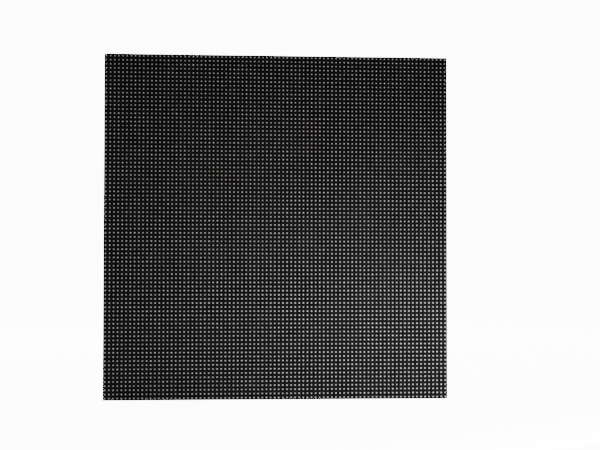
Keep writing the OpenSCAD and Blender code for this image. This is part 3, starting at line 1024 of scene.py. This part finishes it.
dimples = [on_board(dimple(-1.0, 3.5, CHIP_TOP), place) for place in driver_places]
dimples += [on_board(dimple(-1.0, 4.1, CHIP_TOP), place) for place in row_driver_places]
dimples += [on_board(dimple(-1.2, 2.4, BUFFER_TOP), place, turned=True) for place in buffer_places]
dimple_finish = moulded("chip_dimple", (0.03, 0.03, 0.03), (0.045, 0.045, 0.044),
                        9000, 0.004, (0.2, 0.3))
add_piece("chip_dimples", *joined(*dimples), dimple_finish, "chip_resin", smooth=True)

# %% Printed segments of the cans
CAN_STEP, CAN_RADIUS, CAN_TOP = 4, 3.15, 7.7
SEGMENT_RADIUS = CAN_RADIUS - 0.42  # the edge of the flat top
SEGMENT_LIMIT = math.radians(58)  # from the middle of the arc to its ends
SEGMENT_POINTS = 13
SEGMENT_BELOW, SEGMENT_ABOVE = -0.05, 0.01  # its two faces, from the can's top


def can_segment():
    """The black printed segment on a can's top, from its chord out to the rounded edge."""
    n = SEGMENT_POINTS
    arc = [-SEGMENT_LIMIT + 2 * SEGMENT_LIMIT * k / (n - 1) for k in range(n)]
    points = [(SEGMENT_RADIUS * math.cos(angle), SEGMENT_RADIUS * math.sin(angle), CAN_TOP + height)
              for height in (SEGMENT_BELOW, SEGMENT_ABOVE) for angle in arc]
    return points, ring_walls(0, n, n) + [tuple(reversed(range(n))), tuple(range(n, 2 * n))]


can_places = [(CAN_PLACE[0] + a * CAN_STEP * MM, CAN_PLACE[1] + b * CAN_STEP * MM)
              for a in (-1, 1) for b in (-1, 1)]
can_ink = moulded("can_ink", (0.01, 0.01, 0.01), (0.02, 0.02, 0.02), 9000, 0.004, (0.35, 0.5))
add_piece("can_marks", *joined(*(on_board(can_segment(), place) for place in can_places)),
          can_ink, "can_aluminium")

# %% [markdown]
# ## Mounting inserts
#
# Each insert is a brass ring pressed into its boss, grooved so that the plastic holds it, with a
# thread inside. The grooves and the thread's turns are one closed profile, turned once. The turns
# are rings and don't climb, which nobody can see in a bore this small.

# %% Threaded inserts
INSERT_OFFSET = 111  # from the middle, across and up
INSERT_RADIUS, INSERT_LENGTH = 2.9, 8.0
GROOVES, GROOVE_DEPTH = (2.6, 5.4), 0.3
BORE_RADIUS, THREAD_RADIUS, THREAD_PITCH = 1.65, 1.98, 0.7
EDGE = 0.15  # bevel round the mouth
PLAIN_LENGTH = 0.6  # without thread


def insert_shape():
    """A brass insert as one closed ring: grooved outside, with its thread's turns inside."""
    profile = [(THREAD_RADIUS + 0.05, 0), (INSERT_RADIUS - EDGE, 0), (INSERT_RADIUS, EDGE)]
    waist = INSERT_RADIUS - GROOVE_DEPTH
    for groove in GROOVES:
        profile += [(INSERT_RADIUS, groove - 0.5), (waist, groove - 0.2),
                    (waist, groove + 0.2), (INSERT_RADIUS, groove + 0.5)]
    profile += [(INSERT_RADIUS, INSERT_LENGTH), (BORE_RADIUS + 0.1, INSERT_LENGTH)]
    turns = int((INSERT_LENGTH - PLAIN_LENGTH) / THREAD_PITCH)
    for turn in range(turns, 0, -1):
        depth = turn * THREAD_PITCH
        profile += [(THREAD_RADIUS, depth + 0.1), (BORE_RADIUS, depth - THREAD_PITCH / 2 + 0.1)]
    return lathe([(radius * MM, -depth * MM) for radius, depth in profile], 28, closed=True)


insert_places = [(a * INSERT_OFFSET * MM, 0, b * INSERT_OFFSET * MM) for a in (-1, 1) for b in (-1, 1)]
inserts = add_piece("threaded_inserts", *repeat(*insert_shape(), insert_places), BRASS, "insert_brass")
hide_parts("mounting_inserts")

# %% [markdown]
# ## Camera and light
#
# The camera stands about a metre away, nearly square on, a little left and a little low. The light
# is a soft panel low on the right, which is why the lamps fade towards the upper left. Two more
# panels light the rear, which this view doesn't show.

# %% Camera
CAMERA_PLACE = (-0.0624, -1.0, -0.0289)
CAMERA_YAW, CAMERA_PITCH, CAMERA_ROLL = -4.595, 1.763, -0.068
camera_data = bpy.data.cameras.new("camera")
camera_data.lens = 81.56
camera_data.sensor_width = 36
camera_data.clip_start = 0.01
camera = bpy.data.objects.new("camera", camera_data)
turn = Matrix.Rotation(math.radians(CAMERA_YAW), 4, "Z")
turn = turn @ Matrix.Rotation(math.radians(CAMERA_PITCH), 4, "X")
turn = turn @ Matrix.Rotation(math.radians(CAMERA_ROLL), 4, "Y")
level = Matrix.Rotation(math.radians(90), 4, "X")  # from looking down to looking along +Y
camera.matrix_world = Matrix.Translation(CAMERA_PLACE) @ turn @ level
bpy.context.scene.collection.objects.link(camera)
bpy.context.scene.camera = camera
print(f"camera with a lens of {camera_data.lens:.2f} mm")


# %% Lights
def soft_panel(name, place, target, wide, high, power, spread=180):
    """An area light that looks at a target, with its width level."""
    data = bpy.data.lights.new(name, "AREA")
    data.shape = "RECTANGLE"
    data.size = wide
    data.size_y = high
    data.energy = power
    data.spread = math.radians(spread)
    lamp = bpy.data.objects.new(name, data)
    lamp.location = place
    lamp.rotation_euler = (Vector(target) - Vector(place)).to_track_quat("-Z", "Y").to_euler()
    lamp.visible_camera = False
    bpy.context.scene.collection.objects.link(lamp)


soft_panel("key_panel", (0.21, -0.25, -0.106), (0.03, 0, -0.08), wide=0.55, high=0.02,
           power=0.94, spread=140)
soft_panel("rear_panel", (0.5, 1.2, 1.1), (0, 0, 0), wide=0.8, high=0.8, power=30.0)
soft_panel("rear_fill", (-0.9, 0.9, 0.3), (0, 0, 0), wide=0.8, high=0.8, power=12.0)
print("panels:", [lamp.name for lamp in bpy.data.lights])

# %% [markdown]
# The surroundings are white, but white walls would also light the black mask and make it grey. So
# the room and the floor glow only for the camera's own rays, and light the module hardly at all.

# %% Room and floor
WHITE = 12.0
ROOM_LIGHT = 0.08
FLOOR_REACH = 12.0


def camera_white(tree):
    """A strength that only the camera's own rays see, so that white surroundings light nothing."""
    seen = node(tree, "ShaderNodeLightPath").outputs["Is Camera Ray"]
    return math_node(tree, "MULTIPLY", seen, WHITE)


world = bpy.data.worlds.new("pale_room")
world.use_nodes = True
room = world.node_tree.nodes["Background"]
feed(world.node_tree, room.inputs["Color"], grey(1))
glow = math_node(world.node_tree, "ADD", camera_white(world.node_tree), ROOM_LIGHT)
feed(world.node_tree, room.inputs["Strength"], glow)
bpy.context.scene.world = world

floor_material, floor_tree, floor_shader = new_material("pale_floor")
feed(floor_tree, floor_shader.inputs["Base Color"], grey(0.93))
floor_shader.inputs["Roughness"].default_value = 0.8
feed(floor_tree, floor_shader.inputs["Emission Color"], grey(1))
feed(floor_tree, floor_shader.inputs["Emission Strength"], camera_white(floor_tree))
floor_mesh = bpy.data.meshes.new("floor")
floor_mesh.from_pydata([(x * FLOOR_REACH, y * FLOOR_REACH, -HALF)
                        for x, y in ((-1, -1), (1, -1), (1, 1), (-1, 1))], [], [(0, 1, 2, 3)])
floor_mesh.materials.append(floor_material)
floor = bpy.data.objects.new("floor", floor_mesh)
bpy.context.scene.collection.objects.link(floor)
print(f"floor at {-HALF / MM:.0f} mm, {2 * FLOOR_REACH:.0f} m wide")
